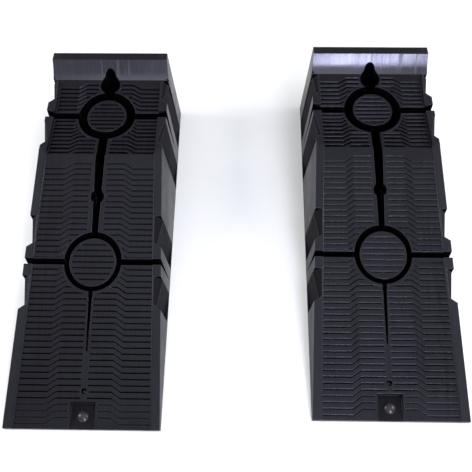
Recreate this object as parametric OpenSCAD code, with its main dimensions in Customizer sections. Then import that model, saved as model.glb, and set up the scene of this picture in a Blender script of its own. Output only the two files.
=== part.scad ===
// Drive-on vehicle ramp pair: two blow-moulded hollow ramps, each with a
// rubber grip pad under its toe, a dome-head rivet and a backing washer.
// Units mm, +Z up. +Y runs from the toes to the wheel stops, X across the pair.

/* [Ramp body] */
// Length of one ramp on the floor, toe to rear
length = 950; // [920:10:990]
// Width of the base at the toe
base_w_toe = 363; // [352:1:374]
// Width of the base at the rear
base_w_rear = 337.4; // [328:0.2:348]
// Thickness of the toe at its front edge
toe_h = 10; // [9.5:0.1:11]
// Distance from the toe to the crest of the incline
crest_y = 642; // [635:1:650]
// Height of the incline at the crest
crest_h = 193.5; // [185:0.5:200]
// Height of the raised side rails above the incline
rail_rise = 3; // [2:0.5:5]
// Draft of the side walls ahead of the crest, in degrees
draft_front = 4.3; // [3.5:0.1:5]
// Draft of the side walls behind the crest, in degrees
draft_rear = 3.15; // [2.5:0.05:4]
// Wall thickness of the hollow moulding
wall = 4.5; // [3.5:0.5:5.5]

/* [Platform and wheel stop] */
// Height of the platform between the rails
tray_z = 189; // [180:0.5:190]
// Height of the platform rails
rail_z = 200; // [196:0.5:204]
// Half width of the platform between the rails
tray_half_w = 138; // [132:1:142]
// Half width of the grooved incline at the toe
deck_half_w_toe = 158.7; // [152:0.1:162]
// Radius of the curve that lifts the platform towards the stop
cradle_r = 600; // [560:10:700]
// Height of the wheel stop
stop_z = 247; // [243:1:252]
// Depth of the flat top of the wheel stop
stop_top_d = 25; // [22:1:30]

/* [Deep grooves] */
// Distance from the toe to the front cross groove
front_y = 374; // [370:1:380]
// Distance from the toe to the rear cross groove
rear_y = 771; // [768:1:775]
// Middle radius of the two ring grooves
ring_r = 64; // [60:1:66]
// Distance from the toe to the round well on the centre slot
well_y = 534; // [525:1:540]
// Radius of the round well
well_r = 18.5; // [16:0.5:20]
// Radius of the larger well at the foot of the stop
spade_r = 26; // [23:0.5:27]

/* [Tread] */
// Spacing of the tread grooves on the incline
tread_pitch = 13.8; // [13:0.1:15]
// Width of one tread groove
tread_w = 4; // [3:0.5:5]
// Depth of the tread grooves
tread_d = 3; // [1.5:0.25:3.25]

/* [Toe fittings] */
// Width of the square rivet pocket
pocket_w = 59; // [54:1:64]
// Depth of the rivet pocket behind the toe
pocket_d = 59; // [54:1:60]
// Diameter of the rivet's dome head
head_d = 28; // [22:1:32]
// Thickness of the rubber grip pad
pad_t = 4; // [3.5:0.25:4.5]
// Width of the rubber grip pad
pad_w = 150; // [120:5:200]

/* [Placement] */
// Distance between the centre lines of the two ramps
spacing = 710; // [370:5:1760]
// How far the right ramp stands behind the left one
right_back = 27; // [0:1:60]

/* [Hidden] */
$fn = 96;
eps = 0.02;
big = 1200;
rise = (crest_h - toe_h) / crest_y;
incline = atan(rise);
side_taper = atan((base_w_toe - base_w_rear) / 2 / length);
side_split_y = crest_y + 26;
side_step = 0.2;
rear_lean = 5;
cradle_y = 740;
stop_front_y = length - rear_lean - stop_top_d;
foot_y = stop_front_y - 36;
foot_z = tray_z + cradle_rise(foot_y);
stop_face_r = 97;
rail_gap = 9;
notch_depth = 11.5;
notch_ledge = 5;
mouth_drop = 5;
mouth_lean = 35;
// Each side notch: where it starts, where it is deepest, where it steps out.
front_notches = [[340, 274, 262], [485, 420, 409]];
rear_notches = [[745, 681, 667], [888, 822, 808]];
// Deep grooves: half width of the floor, height of the floor, slope of the walls.
front_groove = [1, 20, 0.062];
rear_groove = [1, 48, 0.062];
slot_groove = [2, 58, 0.074];
front_ring = [1, 20, 0.06];
rear_ring = [1, 48, 0.076];
slot_start_y = (slot_groove[1] - toe_h) / rise - 8;
rim = 5;
tread_end = 1;
slot_rim = 19;
strip_half_w = 7;
zig_in = 64;
zig_out = 85;
platform_pitch = 12.9;
platform_tread_w = 6.9;
hole_y = 81.5;
hole_r = 6.3;
rivet_y = 30;
pocket_z = 8.5;
shank_r = 4;
washer_t = 1.2;
washer_r = 12;
rivet_gap = 0.25;
pad_y0 = 10;
pad_y1 = 104;
pad_bore_t = 2.6;
cavity_y0 = 112;
stack_y = -(length + right_back) / 2;

function cradle_rise(y) = cradle_r - sqrt(cradle_r * cradle_r - pow(y - cradle_y, 2));
function deck_half_w(y) = deck_half_w_toe + (tray_half_w + 0.5 - deck_half_w_toe) * y / crest_y;
function deck_z(y) = toe_h + rise * y;

// ---- helpers ----------------------------------------------------------

// A side view (Y across the page, Z up) made x0 to x1 wide.
module side_view(x0, x1) {
    translate([x0, 0, 0])
        rotate([90, 0, 90])
            linear_extrude(height = x1 - x0)
                children();
}

module both_sides() {
    children();
    mirror([1, 0, 0])
        children();
}

// Everything outside one drafted side wall, moved outwards by grow.
module beyond_side(draft, grow, y0, y1) {
    translate([base_w_toe / 2 + grow, 0, 0])
        rotate([0, -draft, side_taper])
            translate([0, y0, -big / 4])
                cube([big, y1 - y0, big]);
}

// ---- body -------------------------------------------------------------

// Free space over the curved rear of the platform, in side view.
module cradle(z, foot) {
    intersection() {
        translate([cradle_y, z + cradle_r])
            circle(r = cradle_r, $fn = 720);
        translate([cradle_y - 1, z - 1])
            square([foot - cradle_y + 1, big]);
    }
}

// Free space above the platform and ahead of the stop, in side view.
module above_platform(z, foot) {
    translate([crest_y, z])
        square([cradle_y - crest_y, big]);
    cradle(z, foot);
}

// Free space in front of the hollow face of the stop, in side view.
module stop_hollow(foot) {
    rise_z = stop_z - foot_z;
    run = stop_front_y - foot_y;
    chord = sqrt(run * run + rise_z * rise_z);
    reach = sqrt(stop_face_r * stop_face_r - chord * chord / 4);
    intersection() {
        translate([(foot_y + stop_front_y) / 2 - reach * rise_z / chord,
                   (foot_z + stop_z) / 2 + reach * run / chord])
            circle(r = stop_face_r, $fn = 360);
        translate([foot - eps, foot_z - 2])
            square([stop_front_y - foot + eps, big]);
    }
}

// Side view of the body up to the tops of the rails.
module rail_view() {
    difference() {
        polygon([[0, 0], [0, toe_h + rail_rise], [crest_y, crest_h + rail_rise],
                 [crest_y + 8, rail_z], [cradle_y, rail_z], [cradle_y, stop_z],
                 [length - rear_lean, stop_z], [length, 0]]);
        cradle(rail_z, foot_y + 1);
        stop_hollow(foot_y);
    }
}

// The lower ground between the rails: the incline and then the platform.
module deck_pan() {
    intersection() {
        linear_extrude(height = big)
            both_sides()
                polygon([[-eps, -1], [deck_half_w_toe, -1],
                         [tray_half_w + 0.5, crest_y], [-eps, crest_y]]);
        translate([-big / 2, 0, toe_h])
            rotate([incline, 0, 0])
                translate([0, -20, 0])
                    cube([big, big, 60]);
    }
    side_view(-tray_half_w, tray_half_w)
        above_platform(tray_z, foot_y);
}

// One side notch: a recess down to the ledge, with a chamfered mouth at the rail.
module notch(draft, y, top_z, grow) {
    translate([base_w_toe / 2, 0, 0])
        rotate([0, -draft, side_taper]) {
            translate([0, 0, notch_ledge - grow])
                linear_extrude(height = 300)
                    notch_plan(y, notch_depth, grow);
            translate([0, 0, top_z - mouth_drop])
                rotate([0, -mouth_lean, 0])
                    linear_extrude(height = 90)
                        notch_plan(y, notch_depth, grow);
        }
}

// Plan of a notch beside its wall, with grow all round.
module notch_plan(y, depth, grow) {
    polygon([[0, y[0] + grow], [-depth - grow, y[1] + grow],
             [-depth - grow, y[1] - grow], [-grow, y[2] - grow],
             [40, y[2] - grow], [40, y[0] + grow]]);
}

module notches(grow) {
    both_sides() {
        for (y = front_notches)
            notch(draft_front, y, deck_z(y[1]) + rail_rise, grow);
        for (y = rear_notches)
            notch(draft_rear, y, rail_z + cradle_rise(max(y[1], cradle_y)), grow);
    }
}

// ---- deep grooves -----------------------------------------------------

// Half a groove's width at height z, widened by grow.
function groove_w(g, z, grow) = g[0] + grow + max(0, z - g[1]) * g[2];

// Cross-section of a groove: g is its floor half width, floor height and slope.
module groove_shape(g, top, grow) {
    polygon([[-groove_w(g, g[1], grow), g[1] - grow], [groove_w(g, g[1], grow), g[1] - grow],
             [groove_w(g, top, grow), top], [-groove_w(g, top, grow), top]]);
}

module cross_groove(g, y, grow) {
    translate([0, y, 0])
        rotate([90, 0, 90])
            translate([0, 0, -big / 4])
                linear_extrude(height = big / 2)
                    groove_shape(g, 260, grow);
}

module long_groove(g, y0, y1, grow) {
    translate([0, y1 + grow, 0])
        rotate([90, 0, 0])
            linear_extrude(height = y1 - y0 + 2 * grow)
                groove_shape(g, 260, grow);
}

module ring_groove(g, y, grow) {
    translate([0, y, 0])
        rotate_extrude()
            translate([ring_r, 0])
                groove_shape(g, 260, grow);
}

// A round well whose wall leans in towards its floor.
module well(y, r, floor_z, grow) {
    translate([0, y, floor_z - grow])
        cylinder(r1 = r - 6 + grow, r2 = r + grow + 3, h = 262 - floor_z);
}

// Pointed rear of the larger well, where it runs up into the face of the stop.
module spade_tip(grow) {
    reach = 24;
    near_r = spade_r + grow;
    far_r = 14 + grow;
    inner = 0.85 * far_r;
    turn = acos((near_r - far_r) / reach);
    translate([0, spade_y(), 120 - grow])
        linear_extrude(height = 200) {
            translate([0, reach])
                circle(r = far_r);
            both_sides()
                polygon([[-eps, 0], [near_r * sin(turn), near_r * cos(turn)],
                         [inner * sin(turn), reach + inner * cos(turn)],
                         [-eps, reach + inner * cos(turn)]]);
        }
}

module deep_grooves(grow) {
    difference() {
        union() {
            cross_groove(front_groove, front_y, grow);
            cross_groove(rear_groove, rear_y, grow);
            long_groove(slot_groove, slot_start_y, spade_y(), grow);
        }
        for (y = [front_y, rear_y])
            translate([0, y, -1])
                cylinder(r = ring_r, h = 400);
    }
    ring_groove(front_ring, front_y, grow);
    ring_groove(rear_ring, rear_y, grow);
    well(well_y, well_r + 2.8, 138, grow);
    well(spade_y(), spade_r, 50, grow);
    spade_tip(grow);
}

function spade_y() = foot_y - 14;

// ---- tread ------------------------------------------------------------

// One tread groove in plan, w wide: its middle stretch lies a pitch further back.
module zigzag(y, half_w, pitch, w) {
    both_sides()
        polygon([[-eps, y + pitch], [zig_in, y + pitch], [zig_out, y], [half_w, y],
                 [half_w, y + w], [zig_out, y + w],
                 [zig_in, y + pitch + w], [-eps, y + pitch + w]]);
}

// Plain ground that the tread keeps clear of, in plan.
module plain_rims() {
    for (g = [[front_y, front_ring, deck_z(front_y)], [rear_y, rear_ring, tray_z]])
        translate([0, g[0]])
            circle(r = ring_r + groove_w(g[1], g[2], rim));
    for (g = [[front_y, front_groove, deck_z(front_y)], [rear_y, rear_groove, tray_z]])
        translate([-big / 2, g[0] - groove_w(g[1], g[2], rim - 2)])
            square([big, 2 * groove_w(g[1], g[2], rim - 2)]);
    translate([-strip_half_w, 0])
        square([2 * strip_half_w, length]);
    translate([-slot_rim, front_y])
        square([2 * slot_rim, length - front_y]);
    translate([0, well_y])
        circle(r = well_r + rim);
    translate([0, spade_y()])
        circle(r = spade_r + rim);
    translate([-pocket_w / 2 - rim, -1])
        square([pocket_w + 2 * rim, pocket_d + rim + 1]);
    translate([0, hole_y])
        circle(r = hole_r + rim);
}

// Straight tread grooves on the disc inside a ring, in plan.
module disc_tread(y, g, z, pitch, w) {
    intersection() {
        translate([0, y])
            circle(r = ring_r - groove_w(g, z, rim));
        for (k = [-4 : 4])
            translate([-ring_r, y + k * pitch - w / 2])
                square([2 * ring_r, w]);
    }
}

module incline_tread() {
    difference() {
        for (k = [0 : floor((crest_y - 24) / tread_pitch) - 1]) {
            y = 9 + k * tread_pitch;
            zigzag(y, deck_half_w(y) - tread_end, tread_pitch, tread_w);
        }
        plain_rims();
        translate([-big / 2, crest_y - 18])
            square([big, big]);
    }
    disc_tread(front_y, front_ring, deck_z(front_y), tread_pitch, tread_w);
}

module platform_tread() {
    difference() {
        for (k = [-1 : floor((foot_y - crest_y - 12) / platform_pitch) - 1])
            zigzag(crest_y + 6 + k * platform_pitch, tray_half_w - tread_end, platform_pitch,
                   platform_tread_w);
        plain_rims();
        translate([-big / 2, 0])
            square([big, crest_y + 5]);
        translate([-big / 2, foot_y - 8])
            square([big, big]);
    }
    disc_tread(rear_y, rear_ring, tray_z, platform_pitch, platform_tread_w);
}

// The tread grooves as cutters, a little below the incline and the platform.
module tread() {
    intersection() {
        linear_extrude(height = big)
            incline_tread();
        translate([-big / 2, 0, toe_h])
            rotate([incline, 0, 0])
                translate([0, -20, -tread_d])
                    cube([big, crest_y / cos(incline) + 20, 2 * tread_d]);
    }
    intersection() {
        linear_extrude(height = big)
            platform_tread();
        side_view(-big / 2, big / 2)
            difference() {
                above_platform(tray_z - tread_d, foot_y);
                translate([0, 2 * tread_d])
                    above_platform(tray_z - tread_d, foot_y);
            }
    }
}

// ---- hollow -----------------------------------------------------------

// The sealed hollow of the moulding, from behind the toe to the stop.
module cavity() {
    drop = wall / cos(incline);
    low_z = tray_z - wall;
    face_run = stop_front_y - foot_y;
    difference() {
        side_view(-big / 4, big / 4)
            polygon([[cavity_y0, wall], [cavity_y0, deck_z(cavity_y0) - drop],
                     [(low_z - toe_h + drop) / rise, low_z], [cradle_y + 40, low_z],
                     [foot_y + 5, foot_z - wall - 3],
                     [foot_y + 6 + face_run, stop_z - wall - 1],
                     [length - rear_lean - wall, stop_z - wall - 1],
                     [length - wall, wall]]);
        both_sides() {
            beyond_side(draft_front, -wall - 0.5, -big / 4, side_split_y + 200);
            beyond_side(draft_rear, side_step - wall - 0.5, side_split_y - 20, big * 2);
        }
        notches(wall);
        deep_grooves(wall);
    }
}

// ---- pieces -----------------------------------------------------------

module ramp_shell() {
    difference() {
        side_view(-big / 4, big / 4)
            rail_view();
        both_sides() {
            beyond_side(draft_front, 0, -big / 4, side_split_y);
            beyond_side(draft_rear, side_step, side_split_y - 20, big * 2);
        }
        deck_pan();
        both_sides()
            translate([tray_half_w, foot_y - rail_gap, tray_z - 4])
                cube([60, rail_gap, 80]);
        notches(0);
        deep_grooves(0);
        tread();
        cavity();
        // pocket, rivet hole, peg hole and the recess of the grip pad
        translate([-pocket_w / 2, -1, pocket_z])
            cube([pocket_w, pocket_d + 1, 60]);
        translate([0, rivet_y, -1])
            cylinder(r = shank_r + rivet_gap, h = 60);
        translate([0, hole_y, -1])
            cylinder(r = hole_r, h = 80);
        translate([-pad_w / 2 - 0.5, pad_y0 - 0.5, -1])
            cube([pad_w + 1, pad_y1 - pad_y0 + 1, pad_t + 1]);
    }
}

// Rubber pad under the toe, with a peg up through the moulding.
module toe_pad() {
    difference() {
        union() {
            translate([-pad_w / 2, pad_y0, 0])
                cube([pad_w, pad_y1 - pad_y0, pad_t]);
            translate([0, hole_y, pad_t - eps])
                cylinder(r = 3.6, h = 19);
            translate([0, hole_y, pad_t + 18])
                cylinder(r1 = 4.4, r2 = 3, h = 6);
        }
        translate([0, rivet_y, -1])
            cylinder(r = washer_r + 1, h = pad_bore_t + 1);
        translate([0, rivet_y, -1])
            cylinder(r = shank_r + rivet_gap, h = 20);
        for (k = [0 : 9])
            translate([-pad_w / 2 - 1, rivet_y + 18 + k * 5.6, -1])
                cube([pad_w + 2, 2, 2]);
    }
}

// Dome-head rivet: the head in the pocket, the set end below the washer.
module pad_rivet() {
    dome_h = 7;
    dome_r = (head_d * head_d / 4 + dome_h * dome_h) / (2 * dome_h);
    translate([0, rivet_y, 0]) {
        translate([0, 0, 0.5])
            cylinder(r = shank_r, h = pocket_z + 1);
        translate([0, 0, 0.5])
            cylinder(r1 = 5.2, r2 = 6.5, h = pad_bore_t - washer_t - 0.5);
        intersection() {
            translate([0, 0, pocket_z + dome_h + 1 - dome_r])
                sphere(r = dome_r);
            translate([0, 0, pocket_z + 1])
                cylinder(r = head_d, h = dome_h + 1);
        }
        translate([0, 0, pocket_z])
            cylinder(r = head_d / 2, h = 1 + eps);
    }
}

module pad_washer() {
    translate([0, rivet_y, pad_bore_t - washer_t])
        difference() {
            cylinder(r = washer_r, h = washer_t);
            translate([0, 0, -1])
                cylinder(r = shank_r + 0.15, h = washer_t + 2);
        }
}

// ---- placement --------------------------------------------------------

module on_left() {
    translate([-spacing / 2, stack_y, 0])
        children();
}

module on_right() {
    translate([spacing / 2, stack_y + right_back, 0])
        children();
}

module left_ramp_shell() {
    color([0.035, 0.035, 0.042])
        on_left()
            ramp_shell();
}

module left_toe_pad() {
    color([0.03, 0.03, 0.03])
        on_left()
            toe_pad();
}

module left_pad_rivet() {
    color([0.05, 0.05, 0.055])
        on_left()
            pad_rivet();
}

module left_pad_washer() {
    color([0.6, 0.6, 0.6])
        on_left()
            pad_washer();
}

module right_ramp_shell() {
    color([0.035, 0.035, 0.042])
        on_right()
            ramp_shell();
}

module right_toe_pad() {
    color([0.03, 0.03, 0.03])
        on_right()
            toe_pad();
}

module right_pad_rivet() {
    color([0.05, 0.05, 0.055])
        on_right()
            pad_rivet();
}

module right_pad_washer() {
    color([0.6, 0.6, 0.6])
        on_right()
            pad_washer();
}

left_ramp_shell();
left_toe_pad();
left_pad_rivet();
left_pad_washer();
right_ramp_shell();
right_toe_pad();
right_pad_rivet();
right_pad_washer();
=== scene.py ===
"""Looks of the drive-on vehicle ramp pair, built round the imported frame.

The mouldings and grip pads are rounded copies of their CAD nodes, with procedural
materials. The rivets and washers are turned from profiles. The stage is a pale floor
in soft light."""
import math

import bmesh
import bpy
import numpy as np
from mathutils import Matrix, Vector


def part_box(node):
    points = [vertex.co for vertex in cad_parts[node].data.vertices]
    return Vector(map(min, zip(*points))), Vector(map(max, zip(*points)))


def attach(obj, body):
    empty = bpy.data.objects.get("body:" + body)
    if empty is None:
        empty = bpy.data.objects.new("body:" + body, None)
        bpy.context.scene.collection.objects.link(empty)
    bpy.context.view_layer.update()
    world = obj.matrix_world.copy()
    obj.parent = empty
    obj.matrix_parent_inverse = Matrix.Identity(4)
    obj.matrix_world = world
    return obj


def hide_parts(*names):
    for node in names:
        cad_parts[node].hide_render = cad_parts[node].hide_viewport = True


bl_info = {
    "name": "Vehicle Ramp Pair",
    "version": (1, 0, 0),
    "blender": (4, 5, 0),
    "location": "View3D > Sidebar > Ramps",
    "description": "Two moulded drive-on ramps with grip pads, rivets and washers",
    "category": "Object",
}

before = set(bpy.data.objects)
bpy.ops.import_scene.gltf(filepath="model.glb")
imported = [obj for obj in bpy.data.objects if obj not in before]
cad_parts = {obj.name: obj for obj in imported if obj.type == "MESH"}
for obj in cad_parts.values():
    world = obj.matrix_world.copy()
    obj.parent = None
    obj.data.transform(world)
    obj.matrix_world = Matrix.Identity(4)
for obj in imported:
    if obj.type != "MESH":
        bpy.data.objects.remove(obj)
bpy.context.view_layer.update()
SIDES = ("left", "right")
MM = 0.001

# The mouldings' materials, in the order they are given to each piece. The edge material is a
# painted highlight on the rounded edges; the notch and groove materials are painted shade in
# the recesses.
BODY, EDGE_HIGHLIGHT, NOTCH_SHADE, GROOVE_SHADE, FACE = range(5)

# The mouldings' side walls, in millimetres and degrees: the half width at the toe and
# its loss along the ramp, and the lean of the walls ahead of the split and behind it.
HALF_WIDTH_TOE = 181.5
TAPER = 0.01347
WALL_SPLIT = 668.0
WALL_LEANS = (4.3, 3.15)

# The tread between the rails, in millimetres, with distances measured from the toe.
TOE_HEIGHT = 10.0
CREST = 642.0
SLOPE = 183.5 / CREST
PLATFORM_HEIGHT = 189.0
RISE_START = 740.0
RISE_RADIUS = 600.0
DECK_TOE = 158.7
DECK_PLATFORM = 138.5

# Where the materials change, and with them the painted shade, in millimetres from the toe.
TOE_FRONT = 1.0
POCKET_END = 60.0
GAP_MIDDLE = 879.5
GAP_REACH = 5.5
STOP_FACE = 884.0
WELL_END = 915.0

# What counts as sunk, and so gets painted shade: millimetres inside a rail or wall, and below
# the tread.
MARGIN = 0.5
SHALLOW = 1.0
NOTCH_INSET = (1.5, 16.0)

# Bevels round edges sharper than this, in degrees, and points closer than this, in
# metres, are one point.
SHARP = 28
MERGE = 2e-6

# The mouldings' cool sheen, and where their stippled rails lie, in metres.
SHEEN = (0.80, 0.78, 1.0, 1.0)
STIPPLE_HALF = 0.1455
STIPPLE_TAPER = 0.030
STIPPLE_WIDTH = 0.022

# Rivets and washers, in millimetres: the shank, the set collar, the height at which
# the head starts, the hole of a washer and the break of its edges.
SHANK = 4.0
COLLAR = ((0, 0), (4.7, 0), (5.2, 0.3), (6.4, 0.8), (SHANK, 0.9))
HEAD_FOOT = 8.0
WASHER_HOLE = 4.15
WASHER_BREAK = (0.15, 0.25)

FLOOR_REACH = 9.0
FLOOR_HEIGHT = -0.0002


# ---- surfaces ------------------------------------------------------------

def shown(name, data):
    """An object for the mesh, light or camera, in the scene."""
    made = bpy.data.objects.new(name, data)
    bpy.context.scene.collection.objects.link(made)
    return made


def mesh_from_grid(name, grid):
    """A mesh from points on a grid (rows, columns, 3), closed round the columns.

    Neighbouring points make one quad each. Rows that shrink to a point are
    merged, so that the quads there become triangles and the pole is closed."""
    rows, cols = grid.shape[:2]
    index = np.arange(rows * cols).reshape(rows, cols)
    near, far = index[:-1], index[1:]
    quads = np.stack([near, np.roll(near, -1, 1), np.roll(far, -1, 1), far], -1)
    mesh = bpy.data.meshes.new(name)
    mesh.from_pydata(grid.reshape(-1, 3).tolist(), [], quads.reshape(-1, 4).tolist())
    shape = bmesh.new()
    shape.from_mesh(mesh)
    bmesh.ops.remove_doubles(shape, verts=shape.verts, dist=1e-6)
    bmesh.ops.recalc_face_normals(shape, faces=shape.faces)
    shape.to_mesh(mesh)
    shape.free()
    mesh.shade_smooth()
    return mesh


def turned(name, profile, centre, segments):
    """A turned piece: the profile's (radius, height) pairs swept round a vertical
    axis at centre. A point is centre + (r cos a, r sin a, z), with a in equal steps."""
    profile = np.asarray(profile, float) * MM
    angle = np.linspace(0, 2 * np.pi, segments, endpoint=False)
    radius, height = profile[:, :1], profile[:, 1:]
    grid = np.stack([centre[0] + radius * np.cos(angle),
                     centre[1] + radius * np.sin(angle),
                     centre[2] + height + 0 * angle], -1)
    return shown(name, mesh_from_grid(name, grid))


def outside_half_width(along, height):
    """Half width of a moulding's side wall at a distance from the toe and a height,
    in mm: the base tapers to the rear, and the wall leans in as it rises, with one
    lean ahead of the crest and a smaller one behind it."""
    lean = np.where(along < WALL_SPLIT, *(math.tan(math.radians(a)) for a in WALL_LEANS))
    return HALF_WIDTH_TOE - TAPER * along - lean * height


def deck_height(along):
    """Height of the tread at a distance from the toe, in mm: a straight incline up to
    the crest, a flat platform, then a circular rise towards the stop."""
    incline = TOE_HEIGHT + SLOPE * along
    run = np.clip(along - RISE_START, 0, RISE_RADIUS / 2)
    rise = RISE_RADIUS - np.sqrt(RISE_RADIUS ** 2 - run ** 2)
    return np.where(along < CREST, incline, PLATFORM_HEIGHT + rise)


def deck_half_width(along):
    """Half width of the tread between the rails, in mm: it narrows to the crest."""
    return DECK_TOE + (DECK_PLATFORM - DECK_TOE) * np.clip(along / CREST, 0, 1)


def mark_recesses(mesh, middle, toe):
    """Gives each of a moulding's faces its material, by its middle and its normal.

    Groove is a near-black plastic, painted shade: below the tread between the rails, or
    across a channel, behind the pocket and as far as the larger well, and the gaps at
    the rails' rear ends. Face: the stop's hollow face. Notch is a darker, duller
    plastic, painted shade: faces that look outwards well inside the drafted wall, and
    the toe pocket. The rest is body."""
    count = len(mesh.polygons)
    centre, normal = np.empty(count * 3), np.empty(count * 3)
    mesh.polygons.foreach_get("center", centre)
    mesh.polygons.foreach_get("normal", normal)
    centre, normal = centre.reshape(-1, 3) / MM, normal.reshape(-1, 3)
    across, along, height = centre[:, 0] - middle / MM, centre[:, 1] - toe / MM, centre[:, 2]
    inside = outside_half_width(along, height) - np.abs(across)
    between = np.abs(across) < deck_half_width(along) - MARGIN
    sunk = deck_height(along) - height > SHALLOW
    open_above = (normal[:, 2] > -0.5) & (along < WELL_END)

    channel = np.abs(normal[:, 1]) > 0.9
    # Groove plastic, near black, is painted shade in the sunk tread, the channels and the
    # rails' rear gaps.
    groove_shade = (between | channel) & sunk & open_above & (along > POCKET_END)
    gap = ((np.abs(across) > DECK_PLATFORM) & (inside > MARGIN)
           & (np.abs(along - GAP_MIDDLE) < GAP_REACH))
    hollow = (between & (along > STOP_FACE) & (height > PLATFORM_HEIGHT + SHALLOW)
              & (normal[:, 1] < -0.3) & (normal[:, 2] > 0.1))
    outward = normal[:, 0] * np.sign(across) > 0.45
    # Notch plastic, darker and duller than the body, is painted shade on the notch faces and
    # in the toe pocket.
    notch_shade = outward & (inside > NOTCH_INSET[0]) & (inside < NOTCH_INSET[1])
    pocket = between & sunk & open_above & (along > TOE_FRONT) & (along < POCKET_END)
    kind = np.select([groove_shade | gap, hollow, notch_shade | pocket], [GROOVE_SHADE, FACE, NOTCH_SHADE], BODY)
    mesh.polygons.foreach_set("material_index", kind.astype(np.int32))


def rounded_copy(node, name, width):
    """A merged copy of a CAD node's mesh, with its edges rounded by a Bevel modifier
    and its flat faces kept flat by weighted normals. It keeps the node's place."""
    shape = bmesh.new()
    shape.from_mesh(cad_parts[node].data)
    bmesh.ops.remove_doubles(shape, verts=shape.verts, dist=MERGE)
    bmesh.ops.dissolve_degenerate(shape, edges=shape.edges, dist=MERGE)
    mesh = bpy.data.meshes.new(name)
    shape.to_mesh(mesh)
    shape.free()
    mesh.shade_smooth()
    piece = shown(name, mesh)
    bevel = piece.modifiers.new("rounded edges", "BEVEL")
    bevel.width = width
    bevel.segments = 2
    bevel.limit_method = "ANGLE"
    bevel.angle_limit = math.radians(SHARP)
    bevel.use_clamp_overlap = False
    # The rounded edges take the lighter edge plastic, a painted highlight along them.
    bevel.material = EDGE_HIGHLIGHT
    even = piece.modifiers.new("flat faces stay flat", "WEIGHTED_NORMAL")
    even.weight = 100
    return piece


def placed(piece, body, slot, node, *materials):
    """Gives an object its materials and lets it ride on its body in place of its
    CAD node."""
    for material in materials:
        piece.data.materials.append(material)
    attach(piece, body)
    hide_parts(node)


# ---- materials -----------------------------------------------------------

class Link:
    """A socket of a material's nodes, so that shader maths is written as expressions."""

    def __init__(self, tree, socket=None):
        self.tree = tree
        self.socket = socket

    def node(self, kind, settings=None, inputs=None, out=0):
        """A new node of that kind. Its settings come first, then its inputs by
        name or number. The result is its output socket, by name or number."""
        made = self.tree.nodes.new(kind)
        for key, value in (settings or {}).items():
            setattr(made, key, value)
        for key, value in (inputs or {}).items():
            self.join(value, made.inputs[key])
        return Link(self.tree, made.outputs[out])

    def join(self, value, socket):
        """Feeds the socket from a Link, or sets it to a plain value."""
        if isinstance(value, Link):
            self.tree.links.new(value.socket, socket)
        else:
            socket.default_value = value

    def maths(self, operation, first, second=0.0):
        return self.node("ShaderNodeMath", {"operation": operation},
                         {0: first, 1: second})

    def __add__(self, other):
        return self.maths("ADD", self, other)

    def __sub__(self, other):
        return self.maths("SUBTRACT", self, other)

    def __rsub__(self, other):
        return self.maths("SUBTRACT", other, self)

    def __mul__(self, other):
        return self.maths("MULTIPLY", self, other)

    __radd__ = __add__

    def between(self, low, high):
        """0 below low and 1 above high, with a smooth step between them."""
        return self.node("ShaderNodeMapRange", {"interpolation_type": "SMOOTHSTEP"},
                         {"Value": self, "From Min": low, "From Max": high})

    def tint(self, dark, light):
        """A colour that goes from dark to light as this value goes from 0 to 1."""
        return self.node("ShaderNodeMix", {"data_type": "RGBA"},
                         {0: self, 6: (*dark, 1), 7: (*light, 1)}, out=2)


def finish(name, **constants):
    """A material with one Principled shader, those constants set on it, a Link to
    start nodes from, the shader's inputs, and its Object coordinates."""
    material = bpy.data.materials.new(name)
    material.use_nodes = True
    tree = material.node_tree
    shader = next(n for n in tree.nodes if n.type == "BSDF_PRINCIPLED")
    for key, value in constants.items():
        shader.inputs[key.replace("_", " ")].default_value = value
    start = Link(tree)
    place = start.node("ShaderNodeTexCoord", out="Object")
    return material, start, shader.inputs, place


def frame_middle():
    """Distance of a moulding's middle from the middle of the pair, in metres."""
    low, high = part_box("right_ramp_shell")
    return (low.x + high.x) / 2


def noise(place, scale, detail=4.0, rough=0.55, stretch=None):
    """Soft noise at that many cells to the metre, drawn out by stretch if given."""
    if stretch is not None:
        place = place.node("ShaderNodeMapping", {}, {"Vector": place, "Scale": stretch})
    return place.node("ShaderNodeTexNoise", {},
                      {"Vector": place, "Scale": scale, "Detail": detail,
                       "Roughness": rough}, out="Fac")


def bumped(height, distance):
    """A normal from a height field whose full range is that many metres."""
    return height.node("ShaderNodeBump", {}, {"Height": height, "Distance": distance,
                                              "Strength": 1.0})


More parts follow.
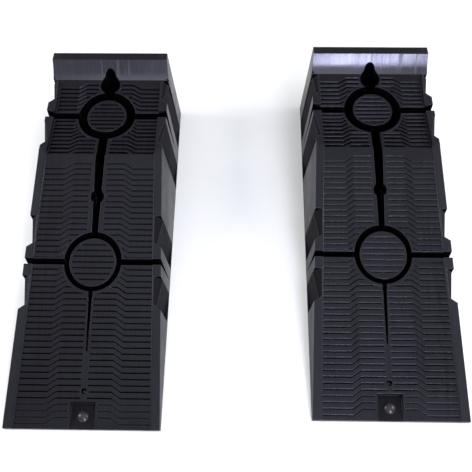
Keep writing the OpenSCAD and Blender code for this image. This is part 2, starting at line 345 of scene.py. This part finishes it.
def plastic(name, colour, worn, rough, shine):
    """Blow-moulded plastic: a fine moulded grain, flow lines drawn across the ramp,
    soft streaks from handling, a few scuffs that are lighter and duller, broad
    changes in gloss, and a coarser stipple on the rails outboard of the tread."""
    material, start, into, place = finish(name, IOR=1.38, Specular_IOR_Level=shine,
                                          Specular_Tint=SHEEN)
    x, y, z = (place.node("ShaderNodeSeparateXYZ", {}, {"Vector": place}, out=axis)
               for axis in "XYZ")
    across = start.maths("ABSOLUTE", start.maths("ABSOLUTE", x) - frame_middle())
    edge = STIPPLE_HALF - y * STIPPLE_TAPER
    rail = (across - edge).between(0.0, 0.003) * z.between(0.004, 0.012)
    rail = rail * (1 - (across - edge - STIPPLE_WIDTH).between(0.0, 0.004))
    grain = noise(place, 1300.0, 2.0)
    stipple = noise(place, 420.0, 2.0, 0.7) * rail
    broad = noise(place, 7.0, 3.0)
    flow = noise(place, 70.0, 4.0, 0.6, stretch=(1.0, 0.06, 0.06))
    streak = noise(place, 26.0, 5.0, stretch=(5.0, 0.7, 1.0))
    scratch = noise(place, 220.0, 3.0, 0.6, stretch=(5.0, 0.25, 1.0)).between(0.60, 0.72)
    scuffed = scratch * broad.between(0.42, 0.62)
    tone = (broad * 0.4 + streak * 0.4 + stipple * 0.4).between(0.30, 0.70)
    start.join((tone * 0.55 + scuffed * 0.35).tint(colour, worn), into["Base Color"])
    start.join(rough + (streak - 0.5) * 0.20 + (flow - 0.5) * 0.26 + (broad - 0.5) * 0.10
               + scuffed * 0.10 + rail * 0.08, into["Roughness"])
    height = grain * 0.10 + flow * 0.25 + scuffed * -0.08 + stipple * 0.9
    start.join(bumped(height, 0.00045), into["Normal"])
    return material


def stop_gloss(colour, worn):
    """The stop's hollow face: smoother plastic, with upright drawn streaks in its
    gloss, thin seams where it was parted from the mould, and broad soft bands."""
    material, start, into, place = finish("stop gloss", IOR=1.55,
                                          Specular_IOR_Level=0.9, Specular_Tint=SHEEN)
    band = noise(place, 9.0, 2.0, stretch=(1.0, 0.1, 0.1))
    streak = noise(place, 120.0, 4.0, 0.65, stretch=(1.0, 0.05, 0.05))
    seam = noise(place, 48.0, 2.0, stretch=(1.0, 0.03, 0.03)).between(0.60, 0.68)
    grain = noise(place, 900.0, 3.0)
    start.join((streak * 0.5 + seam * 0.4).tint(colour, worn), into["Base Color"])
    start.join(0.25 + (band - 0.5) * 0.30 + (streak - 0.5) * 0.22 + seam * 0.20
               + (grain - 0.5) * 0.10, into["Roughness"])
    start.join(bumped(grain * 0.4 + streak * 0.6, 0.0002), into["Normal"])
    return material


def rubber(colour, worn):
    """Cured rubber: matt, with a fine even grain and a dusty bloom in patches."""
    material, start, into, place = finish("grip rubber", IOR=1.52)
    grain = noise(place, 1800.0, 3.0)
    bloom = noise(place, 26.0, 5.0).between(0.40, 0.70)
    start.join(bloom.tint(colour, worn), into["Base Color"])
    start.join(0.72 + (grain - 0.5) * 0.2 + bloom * 0.08, into["Roughness"])
    start.join(bumped(grain, 0.00018), into["Normal"])
    return material


def rivet_gloss(colour, worn):
    """Hard glossy plastic: nearly smooth, with faint swirls and fine dust."""
    material, start, into, place = finish("rivet gloss", IOR=1.40)
    swirl = noise(place, 90.0, 4.0)
    dust = noise(place, 2200.0, 2.0).between(0.62, 0.75)
    start.join((swirl * 0.4 + dust * 0.6).tint(colour, worn), into["Base Color"])
    start.join(0.20 + swirl * 0.12 + dust * 0.25, into["Roughness"])
    start.join(bumped(swirl * 0.7 + dust * 0.3, 0.00008), into["Normal"])
    return material


def steel(colour, worn):
    """Zinc-plated steel: fine turning marks round it, with dull spots."""
    material, start, into, place = finish("plated steel", Metallic=1.0)
    brush = noise(place, 700.0, 4.0, stretch=(1.0, 1.0, 12.0))
    spots = noise(place, 120.0, 5.0).between(0.50, 0.66)
    start.join(spots.tint(colour, worn), into["Base Color"])
    start.join(0.26 + brush * 0.16 + spots * 0.25, into["Roughness"])
    start.join(bumped(brush, 0.00004), into["Normal"])
    return material


# ---- settings ------------------------------------------------------------

def colour_property(name, description, default):
    """A colour setting for the panel."""
    return bpy.props.FloatVectorProperty(name=name, description=description, subtype="COLOR",
                                         size=3, min=0.0, max=1.0, default=default)


class RampSizes(bpy.types.PropertyGroup):
    """Sizes that finish the pieces."""
    edge: bpy.props.FloatProperty(
        name="Edge rounding", description="Width of the rounding on the mouldings' edges",
        default=0.6 * MM, min=0.0, unit="LENGTH", precision=4)
    pad_edge: bpy.props.FloatProperty(
        name="Pad edge rounding", description="Width of the rounding on the grip pads",
        default=0.5 * MM, min=0.0, unit="LENGTH", precision=4)
    head: bpy.props.FloatProperty(
        name="Rivet head", description="Diameter of the rivets' dome heads",
        default=28 * MM, min=0.01, unit="LENGTH")
    dome: bpy.props.FloatProperty(
        name="Dome height", description="Height of the dome above the head's rim",
        default=7 * MM, min=0.001, unit="LENGTH", precision=4)


class RampColours(bpy.types.PropertyGroup):
    """Colours of the materials."""
    plastic: colour_property("Plastic", "The mouldings' colour", (0.0045, 0.0045, 0.0056))
    plastic_worn: colour_property("Worn plastic", "Handled and scuffed plastic",
                                  (0.011, 0.011, 0.0135))
    # The edges' colour, lighter than the body's, is a painted highlight along them.
    edge: colour_property("Plastic edges", "The mouldings' rounded edges",
                          (0.012, 0.012, 0.0145))
    # The notches' colour, darker than the body's usual tone, is painted shade.
    notch_shade: colour_property("Notches", "The mouldings' side notches and toe pockets",
                           (0.005, 0.005, 0.006))
    # The grooves' near-black colour is painted shade in the grooves, channels and gaps.
    groove_shade: colour_property("Grooves", "The mouldings' tread grooves and channels",
                            (0.0008, 0.0008, 0.0012))
    rubber: colour_property("Rubber", "The grip pads' colour", (0.006, 0.006, 0.006))
    rivet: colour_property("Rivet", "The rivets' colour", (0.014, 0.014, 0.016))
    steel: colour_property("Steel", "The washers' colour", (0.62, 0.62, 0.60))
    floor: colour_property("Floor", "The studio floor", (0.92, 0.92, 0.92))


class StageSettings(bpy.types.PropertyGroup):
    """Where the camera stands, how it looks, and how bright the lights are."""
    place: bpy.props.FloatVectorProperty(
        name="Camera place", description="Where the camera stands", subtype="TRANSLATION",
        size=3, default=(0.0129, -0.7055, 1.3263))
    pitch: bpy.props.FloatProperty(
        name="Pitch", description="How far the camera looks down", subtype="ANGLE",
        default=math.radians(61.143))
    yaw: bpy.props.FloatProperty(
        name="Yaw", description="How far the camera turns to the right", subtype="ANGLE",
        default=math.radians(-1.639))
    roll: bpy.props.FloatProperty(
        name="Roll", description="How far the camera leans", subtype="ANGLE",
        default=math.radians(-0.953))
    lens: bpy.props.FloatProperty(
        name="Lens", description="Focal length on a 36 mm sensor", default=42.15, min=10.0)
    key: bpy.props.FloatProperty(
        name="Front strip", description="Power of the tall front light", subtype="POWER",
        default=150.0)
    overhead: bpy.props.FloatProperty(
        name="Overhead softbox", description="Power of the light above", subtype="POWER",
        default=16.0)
    side: bpy.props.FloatProperty(
        name="Side softboxes", description="Power of each side light", subtype="POWER",
        default=48.0)
    fill: bpy.props.FloatProperty(
        name="Fill light", description="Brightness of the surroundings", default=0.55)


# ---- pieces --------------------------------------------------------------

class RAMP_OT_shells(bpy.types.Operator):
    """Give both mouldings rounded edges and moulded plastic, with a painted highlight on the
    edges and painted shade in the notches, pockets and grooves
    """
    bl_idname = "ramp.shells"
    bl_label = "Mouldings"

    def execute(self, context):
        sizes, colours = context.scene.ramp_sizes, context.scene.ramp_colours
        body = plastic("moulded plastic", colours.plastic, colours.plastic_worn, 0.34, 0.36)
        # Edge plastic: lighter and shinier, a painted highlight on the rounded edges.
        edge = plastic("moulded plastic edges", colours.edge, colours.plastic_worn, 0.28, 0.75)
        # Recess plastic: darker and duller, painted shade in the notches and toe pockets.
        notch_shade = plastic("recess_shade plastic", colours.notch_shade, colours.plastic, 0.80, 0.25)
        # Groove plastic: near black and matt, painted shade in the grooves and channels.
        groove_shade = plastic("groove plastic", colours.groove_shade, colours.groove_shade, 0.90, 0.03)
        face = stop_gloss(colours.plastic, colours.plastic_worn)
        for side in SIDES:
            node = side + "_ramp_shell"
            low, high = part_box(node)
            piece = rounded_copy(node, side + "_moulding", sizes.edge)
            mark_recesses(piece.data, (low.x + high.x) / 2, low.y)
            placed(piece, side + "_ramp", "moulded_plastic", node,
                   body, edge, notch_shade, groove_shade, face)
        return {"FINISHED"}


class RAMP_OT_pads(bpy.types.Operator):
    """Give the grip pads under the toes soft edges and rubber"""
    bl_idname = "ramp.pads"
    bl_label = "Grip pads"

    def execute(self, context):
        sizes, colours = context.scene.ramp_sizes, context.scene.ramp_colours
        skin = rubber(colours.rubber, [3 * c for c in colours.rubber])
        for side in SIDES:
            node = side + "_toe_pad"
            placed(rounded_copy(node, side + "_grip_pad", sizes.pad_edge),
                   side + "_ramp", "pad_rubber", node, skin, skin)
        return {"FINISHED"}


def node_axis(node):
    """The middle of a CAD node's box, at the height of the box's foot."""
    low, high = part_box(node)
    return (low + high) / 2 * Vector((1, 1, 0)) + low * Vector((0, 0, 1))


class RAMP_OT_rivets(bpy.types.Operator):
    """Turn the dome-head rivets in the toe pockets, each head a cap of a sphere"""
    bl_idname = "ramp.rivets"
    bl_label = "Rivets"

    def execute(self, context):
        sizes, colours = context.scene.ramp_sizes, context.scene.ramp_colours
        skin = rivet_gloss(colours.rivet, [2.5 * c for c in colours.rivet])
        head, dome = sizes.head / 2 / MM, sizes.dome / MM
        arc = np.linspace(1, 0, 20)
        ball = (head * head + dome * dome) / (2 * dome)
        radius = head * np.sin(arc * np.pi / 2)
        crown = np.sqrt(ball * ball - radius * radius) - (ball - dome)
        foot = [*COLLAR, (SHANK, HEAD_FOOT), (head - 0.6, HEAD_FOOT)]
        for side in SIDES:
            node = side + "_pad_rivet"
            low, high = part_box(node)
            rim = (high.z - low.z) / MM - dome
            profile = foot + [(head - 0.15, rim - 0.85), (head, rim - 0.4)]
            profile += [(r, rim + z) for r, z in zip(radius, crown)]
            piece = turned(side + "_dome_rivet", profile, node_axis(node), 72)
            placed(piece, side + "_ramp", "rivet_plastic", node, skin)
        return {"FINISHED"}


class RAMP_OT_washers(bpy.types.Operator):
    """Turn the backing washers under the rivets"""
    bl_idname = "ramp.washers"
    bl_label = "Washers"

    def execute(self, context):
        colours = context.scene.ramp_colours
        skin = steel(colours.steel, [0.6 * c for c in colours.steel])
        inner, (near, far) = WASHER_HOLE, WASHER_BREAK
        for side in SIDES:
            node = side + "_pad_washer"
            low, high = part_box(node)
            outer, tall = (high.x - low.x) / 2 / MM, (high.z - low.z) / MM
            profile = [(inner, near), (inner + near, 0), (outer - far, 0), (outer, far),
                       (outer, tall - far), (outer - far, tall), (inner + near, tall),
                       (inner, tall - near), (inner, near)]
            piece = turned(side + "_steel_washer", profile, node_axis(node), 64)
            placed(piece, side + "_ramp", "washer_steel", node, skin)
        return {"FINISHED"}


def look_matrix(stage):
    """The camera's place and axes from its pitch, yaw and roll."""
    cp, sp = math.cos(stage.pitch), math.sin(stage.pitch)
    cy, sy = math.cos(stage.yaw), math.sin(stage.yaw)
    ahead = Vector((sy * cp, cy * cp, -sp))
    right = Vector((cy, -sy, 0))
    down = ahead.cross(right)
    cr, sr = math.cos(stage.roll), math.sin(stage.roll)
    axes = Matrix((cr * right - sr * down, -(sr * right + cr * down), -ahead)).transposed()
    return Matrix.Translation(stage.place) @ axes.to_4x4()


def soft_light(name, place, aim, width, height, power, colour=(1, 1, 1)):
    """A rectangular area light at place, turned towards aim."""
    data = bpy.data.lights.new(name, "AREA")
    data.shape, data.size, data.size_y = "RECTANGLE", width, height
    data.energy, data.color = power, colour
    light = shown(name, data)
    light.location = place
    light.rotation_euler = (Vector(aim) - Vector(place)).to_track_quat("-Z", "Y").to_euler()


class RAMP_OT_stage(bpy.types.Operator):
    """Lay the floor and set the lights and the camera"""
    bl_idname = "ramp.stage"
    bl_label = "Stage"

    def execute(self, context):
        scene, stage = context.scene, context.scene.ramp_stage
        material, start, into, place = finish("studio floor", Roughness=0.9)
        patches = noise(place, 1.5, 2.0)
        base = scene.ramp_colours.floor
        start.join(patches.tint([0.985 * c for c in base], base), into["Base Color"])
        corners = [(x * FLOOR_REACH, y * FLOOR_REACH, FLOOR_HEIGHT)
                   for x, y in ((-1, -1), (1, -1), (1, 1), (-1, 1))]
        mesh = bpy.data.meshes.new("studio_floor")
        mesh.from_pydata(corners, [], [(0, 1, 2, 3)])
        mesh.materials.append(material)
        floor = shown("studio_floor", mesh)
        world = bpy.data.worlds.new("studio")
        world.use_nodes = True
        sky = world.node_tree.nodes["Background"].inputs
        sky["Color"].default_value = (0.95, 0.97, 1, 1)
        sky["Strength"].default_value = stage.fill
        scene.world = world
        soft_light("front strip", (1.15, -3.4, 2.1), (0.3, 0.2, 0.1), 0.9, 2.6,
                   stage.key, (0.84, 0.87, 1.0))
        soft_light("overhead softbox", (0.0, -0.35, 2.7), (0, -0.2, 0), 2.4, 2.2,
                   stage.overhead)
        for side in (-1, 1):
            soft_light("side softbox", (2.6 * side, 0.1, 1.6), (0, 0, 0), 1.4, 1.4,
                       stage.side)
        data = bpy.data.cameras.new("camera")
        data.sensor_width, data.lens = 36.0, stage.lens
        camera = shown("camera", data)
        camera.matrix_world = look_matrix(stage)
        scene.camera = camera
        scene.view_settings.view_transform = "Standard"
        return {"FINISHED"}


class RAMP_PT_panel(bpy.types.Panel):
    """The ramp pair's settings and its pieces"""
    bl_idname = "RAMP_PT_panel"
    bl_label = "Ramp pair"
    bl_space_type = "VIEW_3D"
    bl_region_type = "UI"
    bl_category = "Ramps"

    def draw(self, context):
        layout = self.layout
        for group in ("ramp_sizes", "ramp_colours", "ramp_stage"):
            settings = getattr(context.scene, group)
            box = layout.box()
            for key in settings.__annotations__:
                box.prop(settings, key)
        for piece in PIECES:
            layout.operator(piece.bl_idname)


PIECES = (RAMP_OT_shells, RAMP_OT_pads, RAMP_OT_rivets, RAMP_OT_washers, RAMP_OT_stage)
CLASSES = (RampSizes, RampColours, StageSettings, *PIECES, RAMP_PT_panel)
GROUPS = {"ramp_sizes": RampSizes, "ramp_colours": RampColours, "ramp_stage": StageSettings}


def register():
    for each in CLASSES:
        bpy.utils.register_class(each)
    for key, group in GROUPS.items():
        setattr(bpy.types.Scene, key, bpy.props.PointerProperty(type=group))


def unregister():
    for key in GROUPS:
        delattr(bpy.types.Scene, key)
    for each in reversed(CLASSES):
        bpy.utils.unregister_class(each)


def main():
    register()
    bpy.ops.ramp.shells()
    bpy.ops.ramp.pads()
    bpy.ops.ramp.rivets()
    bpy.ops.ramp.washers()
    bpy.ops.ramp.stage()


if __name__ == "__main__":
    main()
